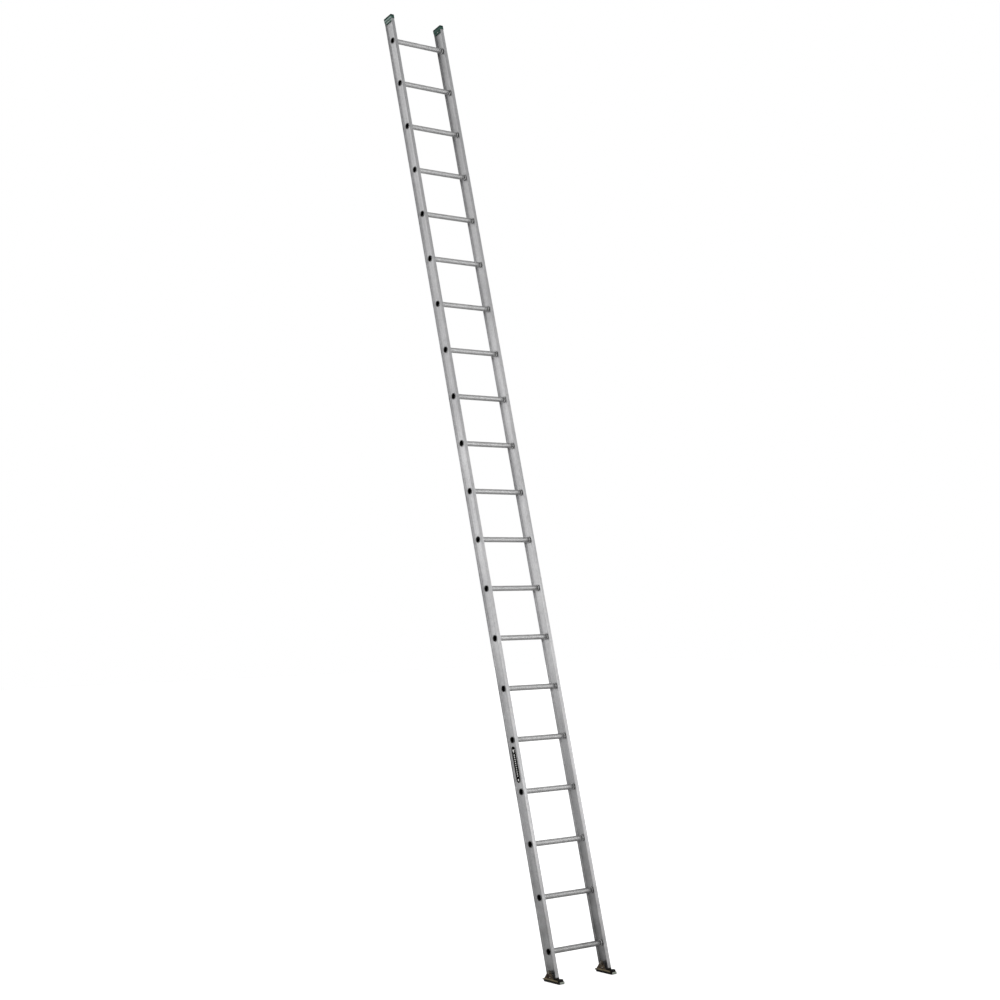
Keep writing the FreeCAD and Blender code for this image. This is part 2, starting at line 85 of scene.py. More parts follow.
# Linear colours of dirt, wear, specks, painted shade and a darkening toward the bottom.
SOOT_AND_SHADE = (0.012, 0.0115, 0.011)
MOUTH_SHADE = (0.006, 0.006, 0.006)
INSIDE_SHADE = (0.05, 0.05, 0.052)
BOTTOM_DARK = (0.09, 0.088, 0.083)
HAND_GREY = (0.22, 0.22, 0.23)
SPECK_GREY = (0.24, 0.24, 0.25)
RUBBED_METAL = (0.82, 0.82, 0.81)
CROWN_SHADE = (0.001, 0.004, 0.003)
RUST_SPECK = (0.16, 0.075, 0.045)
BRACKET_GRIME_AND_SHADE = (0.035, 0.028, 0.022)
HEM_BLACK = (0.010, 0.008, 0.006)
RUBBED_RUBBER = (0.04, 0.04, 0.04)
PLATE_SPECK = (0.35, 0.34, 0.33)
WHITE = (1.0, 1.0, 1.0, 1.0)


# ---------------------------------------------------------------- settings

def colour(name, default, description):
    """A linear colour the user can change."""
    return FloatVectorProperty(name=name, description=description, default=default,
                               subtype="COLOR", size=3, min=0.0, max=1.0)


class LadderFinishSettings(bpy.types.PropertyGroup):
    """Colours and roughness of the ladder's finishes."""

    rail_light: colour("Rail light", (0.73, 0.73, 0.733), "Clean drawn aluminium of the rails")
    rail_dark: colour("Rail dark", (0.49, 0.49, 0.497), "Oxidised streaks on the rails")
    rung_light: colour("Rung light", (0.95, 0.95, 0.948), "Polished crests of the rungs")
    rung_dark: colour("Rung dark", (0.76, 0.76, 0.763), "Oxide in the rung grooves")
    cap_green: colour("Cap green", (0.006, 0.060, 0.042), "Moulded end caps")
    # The cap scuff colour also paints the pale highlight toward the lower rim of the caps.
    cap_scuff_and_sheen: colour("Cap scuff and sheen", (0.40, 0.50, 0.46), "Scuffed lower edges of the end caps")
    zinc_yellow: colour("Yellow zinc", (0.31, 0.26, 0.165), "Passivated pressed steel")
    zinc_brown: colour("Brown zinc", (0.026, 0.015, 0.011), "Darkened passivation")
    zinc_bright: colour("Bright zinc", (0.45, 0.42, 0.35), "Bare zinc at worn edges")
    zinc_scraped: colour("Scraped zinc", (0.44, 0.48, 0.42), "Toe faces scraped on the ground")
    rubber: colour("Rubber", (0.0025, 0.0025, 0.0027), "Sole rubber")
    dust: colour("Dust", (0.36, 0.33, 0.28), "Workshop dust")
    enamel: colour("Enamel", (0.003, 0.003, 0.0032), "Name plate enamel")
    print_white: colour("Plate print", (0.80, 0.80, 0.79), "Raised marks of the name plate")
    metal_roughness: FloatProperty(name="Metal roughness", default=0.34, min=0.0, max=1.0,
                                   subtype="FACTOR", description="Mean roughness of the aluminium")
    wear_radius: FloatProperty(name="Wear radius", default=0.0012, min=0.0001, max=0.01,
                               unit="LENGTH", description="Width of the worn band on edges")


class LadderPlateSettings(bpy.types.PropertyGroup):
    """The raised marks on the name plate."""

    relief: FloatProperty(name="Relief", default=0.00012, min=0.00002, max=0.001, unit="LENGTH",
                          description="How far the marks stand above the enamel")
    rim: FloatProperty(name="Rim", default=0.0009, min=0.0003, max=0.005, unit="LENGTH",
                       description="Width of the light rim")
    bars: IntProperty(name="Bars", default=11, min=1, max=20, description="Plain bars along the plate")
    bar_height: FloatProperty(name="Bar height", default=0.0078, min=0.004, max=0.03, unit="LENGTH",
                              description="Height of the bars across the plate")


class LadderStudioSettings(bpy.types.PropertyGroup):
    """Camera, floor and lights."""

    azimuth: FloatProperty(name="Azimuth", default=math.radians(38.57), subtype="ANGLE",
                           description="Camera heading, from straight at the rungs toward the right")
    pitch: FloatProperty(name="Pitch", default=math.radians(2.68), subtype="ANGLE",
                         description="How far the camera looks up")
    roll: FloatProperty(name="Roll", default=math.radians(0.68), subtype="ANGLE",
                        description="Clockwise tilt of the camera")
    distance: FloatProperty(name="Distance", default=11.07, min=1.0, unit="LENGTH",
                            description="From the camera to the point it aims at")
    lens: FloatProperty(name="Lens", default=64.84, min=10.0, unit="CAMERA",
                        description="Focal length on a 36 mm sensor")
    aim: FloatVectorProperty(name="Aim", default=(0.051, 0.0, -0.2), subtype="TRANSLATION",
                             description="Aim point from the middle of the ladder")
    floor_size: FloatProperty(name="Floor size", default=60.0, min=5.0, unit="LENGTH",
                              description="Side of the floor")
    floor_colour: colour("Floor", (0.62, 0.62, 0.62), "Pale studio floor")
    floor_glow: FloatProperty(name="Floor glow", default=0.75, min=0.0,
                              description="Light added to the floor as the camera sees it")
    sky: FloatProperty(name="Backdrop", default=1.0, min=0.0, description="Brightness seen behind")
    key: FloatProperty(name="Key", default=90.0, min=0.0, unit="POWER", description="Key softbox")
    fill: FloatProperty(name="Fill", default=50.0, min=0.0, unit="POWER", description="Fill softbox")
    waist: FloatProperty(name="Waist", default=4.0, min=0.0, unit="POWER",
                         description="Softbox behind, level with the middle rungs")
    rungs: FloatProperty(name="Rungs", default=9.0, min=0.0, unit="POWER",
                         description="Softbox in front, mirrored in the middle rungs")
    level: FloatProperty(name="Level", default=110.0, min=0.0, unit="POWER",
                         description="Softbox beside the camera")


# ---------------------------------------------------------------- node helpers

def link(tree, source, target):
    """Join two sockets."""
    tree.links.new(source, target)


def feed(tree, socket, value):
    """Join a socket to another, or set it to a plain value."""
    if isinstance(value, bpy.types.NodeSocket):
        link(tree, value, socket)
    else:
        socket.default_value = value


def add(tree, kind, settings=None, **inputs):
    """A node with its settings and inputs; i0, i1 and so on are inputs by number."""
    made = tree.nodes.new(kind)
    for key, value in (settings or {}).items():
        setattr(made, key, value)
    for key, value in inputs.items():
        numbered = key[0] == "i" and key[1:].isdigit()
        feed(tree, made.inputs[int(key[1:]) if numbered else key], value)
    return made


def math_node(tree, operation, a, b=0.0, clamp=False):
    """The result of one sum on two values or sockets."""
    made = add(tree, "ShaderNodeMath", {"operation": operation, "use_clamp": clamp}, i0=a, i1=b)
    return made.outputs[0]


def remap(tree, value, low, high, to_low=0.0, to_high=1.0):
    """Value from low..high to to_low..to_high, clamped."""
    made = add(tree, "ShaderNodeMapRange", {"clamp": True})
    for socket, item in zip(made.inputs, (value, low, high, to_low, to_high)):
        feed(tree, socket, item)
    return made.outputs[0]


def blend(tree, factor, under, over):
    """One colour laid over another by a factor from 0 to 1."""
    made = add(tree, "ShaderNodeMix", {"data_type": "RGBA"})
    feed(tree, made.inputs[0], factor)
    for socket, item in zip(made.inputs[6:8], (under, over)):
        feed(tree, socket, item if isinstance(item, bpy.types.NodeSocket) else (*item, 1.0))
    return made.outputs[2]


def layer(tree, mask, amount, base, over):
    """A colour laid over the base where a mask allows it, at a share of full strength."""
    return blend(tree, math_node(tree, "MULTIPLY", mask, amount), base, over)


def along(tree, vector, axis):
    """How far a vector reaches along an axis."""
    made = add(tree, "ShaderNodeVectorMath", {"operation": "DOT_PRODUCT"}, i0=vector, i1=axis)
    return made.outputs["Value"]


def noise(tree, vector, scale, detail):
    """Soft noise, 0 to 1."""
    return add(tree, "ShaderNodeTexNoise", None, Vector=vector, Scale=scale, Detail=detail).outputs[0]


def sideways(tree, place):
    """Sideways place times sideways normal: below zero on faces that look at the other rail."""
    parts = add(tree, "ShaderNodeSeparateXYZ", None, i0=place)
    geometry = tree.nodes.new("ShaderNodeNewGeometry")
    facing = add(tree, "ShaderNodeSeparateXYZ", None, i0=geometry.outputs["True Normal"])
    return math_node(tree, "MULTIPLY", parts.outputs["X"], facing.outputs["X"])


def new_group(name, inputs, outputs):
    """An empty shader group and its two end nodes."""
    group = bpy.data.node_groups.new(name, "ShaderNodeTree")
    for label, kind, default in inputs:
        socket = group.interface.new_socket(name=label, in_out="INPUT", socket_type=kind)
        if default is not None:
            socket.default_value = default
    for label, kind in outputs:
        group.interface.new_socket(name=label, in_out="OUTPUT", socket_type=kind)
    return group, group.nodes.new("NodeGroupInput"), group.nodes.new("NodeGroupOutput")


FLOAT, VECTOR = "NodeSocketFloat", "NodeSocketVector"


def drawn_grain_group():
    """Long thin streaks along the vector's Z, as an extrusion die leaves them."""
    group, start, end = new_group(
        "Drawn Grain",
        [("Vector", VECTOR, None), ("Across", FLOAT, 900.0), ("Along", FLOAT, 6.0)],
        [("Streaks", FLOAT), ("Fine", FLOAT)])
    stretch = add(group, "ShaderNodeCombineXYZ", None,
                  X=start.outputs["Across"], Y=start.outputs["Across"], Z=start.outputs["Along"])
    scaled = add(group, "ShaderNodeVectorMath", {"operation": "MULTIPLY"},
                 i0=start.outputs["Vector"], i1=stretch.outputs[0])
    broad = add(group, "ShaderNodeVectorMath", {"operation": "SCALE"}, i0=scaled.outputs[0], Scale=0.12)
    wide = noise(group, broad.outputs[0], 1.0, 2.0)
    fine = noise(group, scaled.outputs[0], 1.0, 3.0)
    link(group, remap(group, wide, 0.35, 0.65), end.inputs["Streaks"])
    link(group, remap(group, fine, 0.3, 0.7), end.inputs["Fine"])
    return group


def mottle_group():
    """Cloudy tone changes with a finer break-up."""
    group, start, end = new_group(
        "Mottle",
        [("Vector", VECTOR, None), ("Scale", FLOAT, 6.0), ("Contrast", FLOAT, 0.5)],
        [("Cloud", FLOAT), ("Speck", FLOAT)])
    cloud = add(group, "ShaderNodeTexNoise", None, Vector=start.outputs["Vector"],
                Scale=start.outputs["Scale"], Detail=5.0, Roughness=0.6)
    half = math_node(group, "MULTIPLY", start.outputs["Contrast"], -0.25)
    low = math_node(group, "ADD", half, 0.5)
    high = math_node(group, "SUBTRACT", 0.5, half)
    link(group, remap(group, cloud.outputs[0], high, low, 1.0, 0.0), end.inputs["Cloud"])
    fine = math_node(group, "MULTIPLY", start.outputs["Scale"], 38.0)
    speck = noise(group, start.outputs["Vector"], fine, 2.0)
    link(group, remap(group, speck, 0.55, 0.72), end.inputs["Speck"])
    return group


def edge_wear_group():
    """Where convex edges have been rubbed, broken up by noise."""
    group, start, end = new_group(
        "Edge Wear",
        [("Vector", VECTOR, None), ("Radius", FLOAT, 0.001), ("Break Up", FLOAT, 120.0)],
        [("Mask", FLOAT)])
    rounded = add(group, "ShaderNodeBevel", {"samples": 4}, Radius=start.outputs["Radius"])
    plain = group.nodes.new("ShaderNodeNewGeometry")
    meet = along(group, rounded.outputs[0], plain.outputs["Normal"])
    edge = remap(group, meet, 0.995, 0.86)
    rub = remap(group, noise(group, start.outputs["Vector"], start.outputs["Break Up"], 4.0), 0.35, 0.6)
    link(group, math_node(group, "MULTIPLY", edge, rub, clamp=True), end.inputs["Mask"])
    return group


def crevice_grime_and_shade_group():
    """Dirt and painted shade that gather in corners, found by occlusion."""
    group, start, end = new_group(
        "Crevice Grime And Shade",
        [("Vector", VECTOR, None), ("Reach", FLOAT, 0.02), ("Break Up", FLOAT, 40.0),
         ("Full At", FLOAT, 0.35), ("Least", FLOAT, 0.45)],
        [("Mask", FLOAT)])
    shut = add(group, "ShaderNodeAmbientOcclusion", {"samples": 6, "only_local": False},
               Distance=start.outputs["Reach"])
    deep = remap(group, shut.outputs["AO"], 0.85, start.outputs["Full At"])
    clouds = noise(group, start.outputs["Vector"], start.outputs["Break Up"], 4.0)
    patch = remap(group, clouds, 0.3, 0.7, start.outputs["Least"], 1.0)
    link(group, math_node(group, "MULTIPLY", deep, patch, clamp=True), end.inputs["Mask"])
    return group


def dust_group():
    """Dust on upward faces, thicker near the floor."""
    group, start, end = new_group(
        "Settled Dust",
        [("Vector", VECTOR, None), ("Scale", FLOAT, 90.0), ("Height", FLOAT, 0.1)],
        [("Mask", FLOAT)])
    shape = group.nodes.new("ShaderNodeNewGeometry")
    normal = add(group, "ShaderNodeSeparateXYZ", None, i0=shape.outputs["Normal"])
    place = add(group, "ShaderNodeSeparateXYZ", None, i0=start.outputs["Vector"])
    upward = remap(group, normal.outputs["Z"], 0.1, 1.0)
    low = remap(group, place.outputs["Z"], 0.0, start.outputs["Height"], 1.0, 0.0)
    patch = remap(group, noise(group, start.outputs["Vector"], start.outputs["Scale"], 6.0), 0.4, 0.7)
    both = math_node(group, "MAXIMUM", upward, low)
    link(group, math_node(group, "MULTIPLY", both, patch, clamp=True), end.inputs["Mask"])
    return group


def band_group():
    """A patchy band that sets in between two places along an axis."""
    group, start, end = new_group(
        "Patchy Band",
        [("Vector", VECTOR, None), ("Axis", VECTOR, (0.0, 0.0, 1.0)), ("From", FLOAT, 0.0),
         ("To", FLOAT, 0.1), ("Break Up", FLOAT, 60.0), ("Least", FLOAT, 0.4)],
        [("Mask", FLOAT)])
    reach = along(group, start.outputs["Vector"], start.outputs["Axis"])
    band = remap(group, reach, start.outputs["From"], start.outputs["To"])
    clouds = noise(group, start.outputs["Vector"], start.outputs["Break Up"], 5.0)
    patch = remap(group, clouds, 0.35, 0.65, start.outputs["Least"], 1.0)
    link(group, math_node(group, "MULTIPLY", band, patch, clamp=True), end.inputs["Mask"])
    return group


def mouth_shade_group():
    """Painted shade, black in the open rung ends and on the collars round them."""
    group, start, end = new_group(
        "Rung Mouth Shade",
        [("Vector", VECTOR, None), ("First Rung", VECTOR, (0.0, 0.0, 0.0)),
         ("Up", VECTOR, (0.0, 0.0, 1.0)), ("Across", VECTOR, (0.0, 1.0, 0.0)), ("Pitch", FLOAT, 0.3),
         ("Bore", FLOAT, 0.015), ("Collar", FLOAT, 0.02), ("Outside", FLOAT, 0.2),
         ("Break Up", FLOAT, 120.0)],
        [("Mask", FLOAT)])
    away = add(group, "ShaderNodeVectorMath", {"operation": "SUBTRACT"},
               i0=start.outputs["Vector"], i1=start.outputs["First Rung"])
    up = along(group, away.outputs[0], start.outputs["Up"])
    across = along(group, away.outputs[0], start.outputs["Across"])
    number = math_node(group, "ROUND", math_node(group, "DIVIDE", up, start.outputs["Pitch"]))
    nearest = math_node(group, "MULTIPLY", number, start.outputs["Pitch"])
    off = math_node(group, "SUBTRACT", up, nearest)
    flat = add(group, "ShaderNodeCombineXYZ", None, i0=off, i1=across)
    radius = add(group, "ShaderNodeVectorMath", {"operation": "LENGTH"}, i0=flat.outputs[0])
    bore = math_node(group, "LESS_THAN", radius.outputs["Value"], start.outputs["Bore"])
    parts = add(group, "ShaderNodeSeparateXYZ", None, i0=start.outputs["Vector"])
    side = math_node(group, "ABSOLUTE", parts.outputs["X"])
    beyond = math_node(group, "GREATER_THAN", side, start.outputs["Outside"])
    fade = math_node(group, "ADD", start.outputs["Collar"], 0.003)
    ring = remap(group, radius.outputs["Value"], fade, start.outputs["Collar"])
    clouds = noise(group, start.outputs["Vector"], start.outputs["Break Up"], 4.0)
    patch = remap(group, clouds, 0.3, 0.6, 0.8, 1.0)
    ring = math_node(group, "MULTIPLY", math_node(group, "MULTIPLY", ring, beyond), patch)
    link(group, math_node(group, "MAXIMUM", bore, ring), end.inputs["Mask"])
    return group


def inside_shade_group():
    """Painted shade on faces that look at the other rail, heavier toward the back."""
    group, start, end = new_group(
        "Inside Face Shade",
        [("Vector", VECTOR, None), ("Up", VECTOR, (0.0, 0.0, 1.0)), ("Across", VECTOR, (0.0, 1.0, 0.0)),
         ("Middle", FLOAT, 3.0), ("Clean", FLOAT, 1.6), ("Full", FLOAT, 2.9), ("Front", FLOAT, -0.04),
         ("Back", FLOAT, 0.04), ("Break Up", FLOAT, 9.0)],
        [("Mask", FLOAT)])
    inward = remap(group, sideways(group, start.outputs["Vector"]), -0.08, -0.16)
    up = along(group, start.outputs["Vector"], start.outputs["Up"])
    off = math_node(group, "ABSOLUTE", math_node(group, "SUBTRACT", up, start.outputs["Middle"]))
    ends = remap(group, off, start.outputs["Clean"], start.outputs["Full"])
    across = along(group, start.outputs["Vector"], start.outputs["Across"])
    rear = remap(group, across, start.outputs["Front"], start.outputs["Back"], 0.15, 1.0)
    clouds = noise(group, start.outputs["Vector"], start.outputs["Break Up"], 5.0)
    patch = remap(group, clouds, 0.35, 0.65, 0.7, 1.0)
    mask = math_node(group, "MULTIPLY", math_node(group, "MULTIPLY", inward, ends), rear)
    link(group, math_node(group, "MULTIPLY", mask, patch, clamp=True), end.inputs["Mask"])
    return group


EFFECTS = {
    "Patchy Band": band_group,
    "Rung Mouth Shade": mouth_shade_group,
    "Inside Face Shade": inside_shade_group,
    "Drawn Grain": drawn_grain_group,
    "Mottle": mottle_group,
    "Edge Wear": edge_wear_group,
    "Crevice Grime And Shade": crevice_grime_and_shade_group,
    "Settled Dust": dust_group,
}


def effect(tree, name, **inputs):
    """One of the shared effects placed in a material; underscores in input names are spaces."""
    made = tree.nodes.new("ShaderNodeGroup")
    made.node_tree = bpy.data.node_groups.get(name) or EFFECTS[name]()
    for key, value in inputs.items():
        feed(tree, made.inputs[key.replace("_", " ")], value)
    return made.outputs


def new_material(name):
    """A material with an empty Principled surface and object coordinates."""
    material = bpy.data.materials.new(name)
    material.use_nodes = True
    tree = material.node_tree
    surface = tree.nodes["Principled BSDF"]
    place = tree.nodes.new("ShaderNodeTexCoord").outputs["Object"]
    return material, tree, surface, place


def along_rail(tree, place):
    """Object coordinates turned so that Z runs up the rails."""
    turned = add(tree, "ShaderNodeMapping", {"vector_type": "POINT"}, Vector=place)
    turned.inputs["Rotation"].default_value = (LEAN, 0, 0)
    return turned.outputs[0]


def along_x(tree, place):
    """Object coordinates turned so that Z runs along the rungs."""
    turned = add(tree, "ShaderNodeMapping", {"vector_type": "POINT"}, Vector=place)
    turned.inputs["Rotation"].default_value = (0, -math.pi / 2, 0)
    return turned.outputs[0]


def bump(tree, surface, height, distance, strength):
    """Fine relief on a surface."""
    made = add(tree, "ShaderNodeBump", None, Height=height, Distance=distance, Strength=strength)
    link(tree, made.outputs[0], surface.inputs["Normal"])


def span(name, axis):
    """How far a CAD node reaches along an axis, low and high."""
    reach = [vertex.co.dot(axis) for vertex in NODES[name].data.vertices]
    return min(reach), max(reach)


def finish_node(names, material):
    """Give CAD nodes one material."""
    for name in names:
        if name not in NODES:
            raise RuntimeError("no CAD node " + name)
        mesh = NODES[name].data
        mesh.materials.clear()
        mesh.materials.append(material)


# ---------------------------------------------------------------- finishes

def rung_mouth_shade(tree, place):
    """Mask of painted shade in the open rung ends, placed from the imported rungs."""
    low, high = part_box("rung_01")
    first = (low + high) / 2
    step = (sum(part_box("rung_02"), Vector()) / 2 - first).length
    within_wall = 0.0149
    black_share = 0.87
    web_middle = 0.1985
    return effect(tree, "Rung Mouth Shade", Vector=place, First_Rung=first, Up=RAIL_UP,
                  Across=RAIL_ACROSS, Pitch=step, Bore=within_wall,
                  Collar=(high.z - low.z) / 2 * black_share, Outside=web_middle)["Mask"]


def inside_shade_faces(tree, place):
    """Mask of painted shade on the inner faces toward both ends of the rails."""
    bottom, top = span("rail_left", RAIL_UP)
    front, back = span("rail_left", RAIL_ACROSS)
    middle = (bottom + top) / 2
    reach = top - middle
    clean_share, full_share = 0.45, 0.98
    return effect(tree, "Inside Face Shade", Vector=place, Up=RAIL_UP, Across=RAIL_ACROSS,
                  Middle=middle, Clean=reach * clean_share, Full=reach * full_share,
                  Front=front, Back=back)["Mask"]


def aluminium(name, light, dark, roughness, axis, across, wear, reach=0.016, soot_and_shade=0.62,
              full_at=0.35, least=0.45, bottom_dark=0.0, mouth_shade=False, inside_shade=0.0):
    """Drawn aluminium with streaks, clouds, rubbed edges, and dirt with painted shade in corners.

    axis turns the place so that its Z follows the grain, and across sets how fine the grain is.
    soot is the weight of corner dirt and painted corner shade, soil of a darkening toward the bottom,
    inside of painted shade on the inner faces.
    """
    material, tree, surface, place = new_material(name)
    vector = axis(tree, place)
    grain = effect(tree, "Drawn Grain", Vector=vector, Across=across, Along=5.0)
    cloud = effect(tree, "Mottle", Vector=place, Scale=3.2, Contrast=0.9)
    prints = effect(tree, "Mottle", Vector=place, Scale=46.0, Contrast=1.0)
    rubbed = effect(tree, "Edge Wear", Vector=place, Radius=wear, Break_Up=90.0)
    grime_and_shade = effect(tree, "Crevice Grime And Shade", Vector=place, Reach=reach, Break_Up=55.0,
                   Full_At=full_at, Least=least)
    tone = math_node(tree, "MULTIPLY", grain["Streaks"], 0.45)
    tone = math_node(tree, "ADD", tone, math_node(tree, "MULTIPLY", cloud["Cloud"], 0.55), clamp=True)
    base = blend(tree, tone, light, dark)
    base = layer(tree, prints["Cloud"], 0.30, base, HAND_GREY)
    base = layer(tree, cloud["Speck"], 0.4, base, SPECK_GREY)
    base = layer(tree, rubbed["Mask"], 0.7, base, RUBBED_METAL)
    # Painted shade on the inner faces toward both ends of the rails.
    if inside_shade:
        dull = inside_shade_faces(tree, place)
        base = layer(tree, dull, inside_shade, base, INSIDE_SHADE)
    # Darker toward the bottom of the ladder.
    if bottom_dark:
        low = effect(tree, "Patchy Band", Vector=place, Axis=(0.0, 0.0, 1.0), From=0.9, To=0.0,
                     Break_Up=14.0, Least=0.55)
        base = layer(tree, low["Mask"], bottom_dark, base, BOTTOM_DARK)
    # Dirt and painted shade in corners, found by occlusion.
    base = layer(tree, grime_and_shade["Mask"], soot_and_shade, base, SOOT_AND_SHADE)
    # Painted shade: black in the open rung ends and on the collars round them.
    if mouth_shade:
        base = blend(tree, rung_mouth_shade(tree, place), base, MOUTH_SHADE)
    link(tree, base, surface.inputs["Base Color"])
    rough = remap(tree, grain["Fine"], 0.0, 1.0, roughness - 0.06, roughness + 0.10)
    rough = math_node(tree, "ADD", rough, math_node(tree, "MULTIPLY", cloud["Cloud"], 0.08))
    rough = math_node(tree, "ADD", rough, math_node(tree, "MULTIPLY", grime_and_shade["Mask"], 0.25), clamp=True)
    link(tree, rough, surface.inputs["Roughness"])
    surface.inputs["Metallic"].default_value = 1.0
    surface.inputs["Anisotropic"].default_value = 0.35
    relief = math_node(tree, "ADD", grain["Fine"], math_node(tree, "MULTIPLY", cloud["Speck"], -0.6))
    bump(tree, surface, relief, distance=0.00006, strength=0.5)
    return material


def moulded_green(settings):
    """Matt green plastic, scuffed at the edges, with painted shade along its crown and a painted
    highlight toward its lower rim.
    """
    material, tree, surface, place = new_material("Moulded Green")
    cloud = effect(tree, "Mottle", Vector=place, Scale=28.0, Contrast=0.9)
    rubbed = effect(tree, "Edge Wear", Vector=place, Radius=settings.wear_radius * 1.6, Break_Up=160.0)
    dark = [c * 0.62 for c in settings.cap_green]
    base = blend(tree, cloud["Cloud"], settings.cap_green, dark)
    base = layer(tree, cloud["Speck"], 0.25, base, settings.cap_scuff_and_sheen)
    base = layer(tree, rubbed["Mask"], 0.25, base, settings.cap_scuff_and_sheen)
    skirt = span("top_cap_left", RAIL_UP)[1] - 0.0125
    # Painted shade: a near-black band along the crown of the cap.
    crown = effect(tree, "Patchy Band", Vector=place, Axis=RAIL_UP, From=skirt, To=skirt + 0.004,
                   Break_Up=90.0, Least=0.75)
    base = layer(tree, crown["Mask"], 0.85, base, CROWN_SHADE)
    # Painted highlight: a pale band toward the lower rim, stronger on faces that look away from the
    # other rail.
    pale = effect(tree, "Patchy Band", Vector=place, Axis=RAIL_UP, From=skirt, To=skirt - 0.0065,
                  Break_Up=210.0, Least=0.45)
    outward = remap(tree, sideways(tree, place), 0.08, 0.16, 0.12, 0.85)
    base = layer(tree, pale["Mask"], outward, base, settings.cap_scuff_and_sheen)
    link(tree, base, surface.inputs["Base Color"])
    link(tree, remap(tree, cloud["Cloud"], 0.0, 1.0, 0.45, 0.62), surface.inputs["Roughness"])
    surface.inputs["Specular IOR Level"].default_value = 0.16
    bump(tree, surface, cloud["Speck"], distance=0.0001, strength=0.4)
    return material


def yellow_zinc(settings):
    """Passivated pressed steel, browned in patches, bright where it rubs, with dirt and painted shade
    in its corners.
    """
    material, tree, surface, place = new_material("Yellow Zinc")
    cloud = effect(tree, "Mottle", Vector=place, Scale=34.0, Contrast=1.0)
    rubbed = effect(tree, "Edge Wear", Vector=place, Radius=settings.wear_radius, Break_Up=140.0)
    grime_and_shade = effect(tree, "Crevice Grime And Shade", Vector=place, Reach=0.022, Break_Up=80.0)
    dusty = effect(tree, "Settled Dust", Vector=place, Scale=120.0, Height=0.03)
    sill = span("shoe_bracket_left", UP)[0] + 0.019
    front = span("shoe_bracket_left", AHEAD)[1]
    ears = effect(tree, "Patchy Band", Vector=place, Axis=UP, From=sill - 0.002, To=sill + 0.002,
                  Break_Up=60.0, Least=0.6)
    scrape = effect(tree, "Patchy Band", Vector=place, Axis=AHEAD, From=front - 0.0012,
                    To=front - 0.0004, Break_Up=260.0, Least=0.65)
    tone = math_node(tree, "MULTIPLY", cloud["Cloud"], 0.55)
    tone = math_node(tree, "ADD", tone, math_node(tree, "MULTIPLY", ears["Mask"], 0.7), clamp=True)
    base = blend(tree, tone, settings.zinc_yellow, settings.zinc_brown)
    base = layer(tree, cloud["Speck"], 0.3, base, RUST_SPECK)
    base = layer(tree, rubbed["Mask"], 0.75, base, settings.zinc_bright)
    # Dirt and painted shade in the bracket's corners, found by occlusion.
    base = layer(tree, grime_and_shade["Mask"], 0.75, base, BRACKET_GRIME_AND_SHADE)
    base = layer(tree, dusty["Mask"], 0.06, base, settings.dust)
    hem = effect(tree, "Patchy Band", Vector=place, Axis=UP, From=sill - 0.0060, To=sill - 0.0085,
                 Break_Up=70.0, Least=0.9)
    base = layer(tree, hem["Mask"], 0.93, base, HEM_BLACK)
    base = blend(tree, scrape["Mask"], base, settings.zinc_scraped)
    link(tree, base, surface.inputs["Base Color"])
    rough = remap(tree, cloud["Cloud"], 0.0, 1.0, 0.34, 0.52)
    rough = math_node(tree, "ADD", rough, math_node(tree, "MULTIPLY", dusty["Mask"], 0.3), clamp=True)
    link(tree, rough, surface.inputs["Roughness"])
    surface.inputs["Metallic"].default_value = 0.85
    bump(tree, surface, cloud["Speck"], distance=0.00012, strength=0.5)
    return material


def sole_rubber(settings):
    """Black rubber with dust in the treads and on the lug."""
    material, tree, surface, place = new_material("Sole Rubber")
    cloud = effect(tree, "Mottle", Vector=place, Scale=45.0, Contrast=0.8)
    rubbed = effect(tree, "Edge Wear", Vector=place, Radius=settings.wear_radius, Break_Up=200.0)
    dusty = effect(tree, "Settled Dust", Vector=place, Scale=150.0, Height=0.012)
    grey = [c * 2.2 for c in settings.rubber]
    base = blend(tree, cloud["Cloud"], settings.rubber, grey)
    base = layer(tree, rubbed["Mask"], 0.2, base, RUBBED_RUBBER)
    base = layer(tree, dusty["Mask"], 0.015, base, settings.dust)
    surface.inputs["Specular IOR Level"].default_value = 0.2
    link(tree, base, surface.inputs["Base Color"])
    link(tree, remap(tree, cloud["Cloud"], 0.0, 1.0, 0.5, 0.75), surface.inputs["Roughness"])
    bump(tree, surface, cloud["Speck"], distance=0.00015, strength=0.5)
    return material


def bright_rivet(settings):
    """Soft aluminium rivet heads, pitted by the setting tool."""
    return aluminium("Bright Rivet", (0.90, 0.87, 0.82), (0.70, 0.67, 0.62), roughness=0.34,
                     axis=along_x, across=700.0, wear=settings.wear_radius)


def plated_steel(settings):
    """Zinc-plated bolts, nuts and washers."""
    return aluminium("Plated Steel", (0.30, 0.275, 0.22), (0.16, 0.135, 0.10), roughness=0.36,
                     axis=along_x, across=500.0, wear=settings.wear_radius, soot_and_shade=0.85)


def nylon(settings):
    """Black nylon spacers."""
    material, tree, surface, place = new_material("Black Nylon")
    cloud = effect(tree, "Mottle", Vector=place, Scale=60.0, Contrast=0.7)
    base = blend(tree, cloud["Cloud"], (0.03, 0.03, 0.031), (0.07, 0.07, 0.07))
    base = layer(tree, cloud["Speck"], 0.2, base, settings.dust)
    link(tree, base, surface.inputs["Base Color"])
    link(tree, remap(tree, cloud["Cloud"], 0.0, 1.0, 0.4, 0.6), surface.inputs["Roughness"])
    bump(tree, surface, cloud["Speck"], distance=0.0001, strength=0.3)
    return material


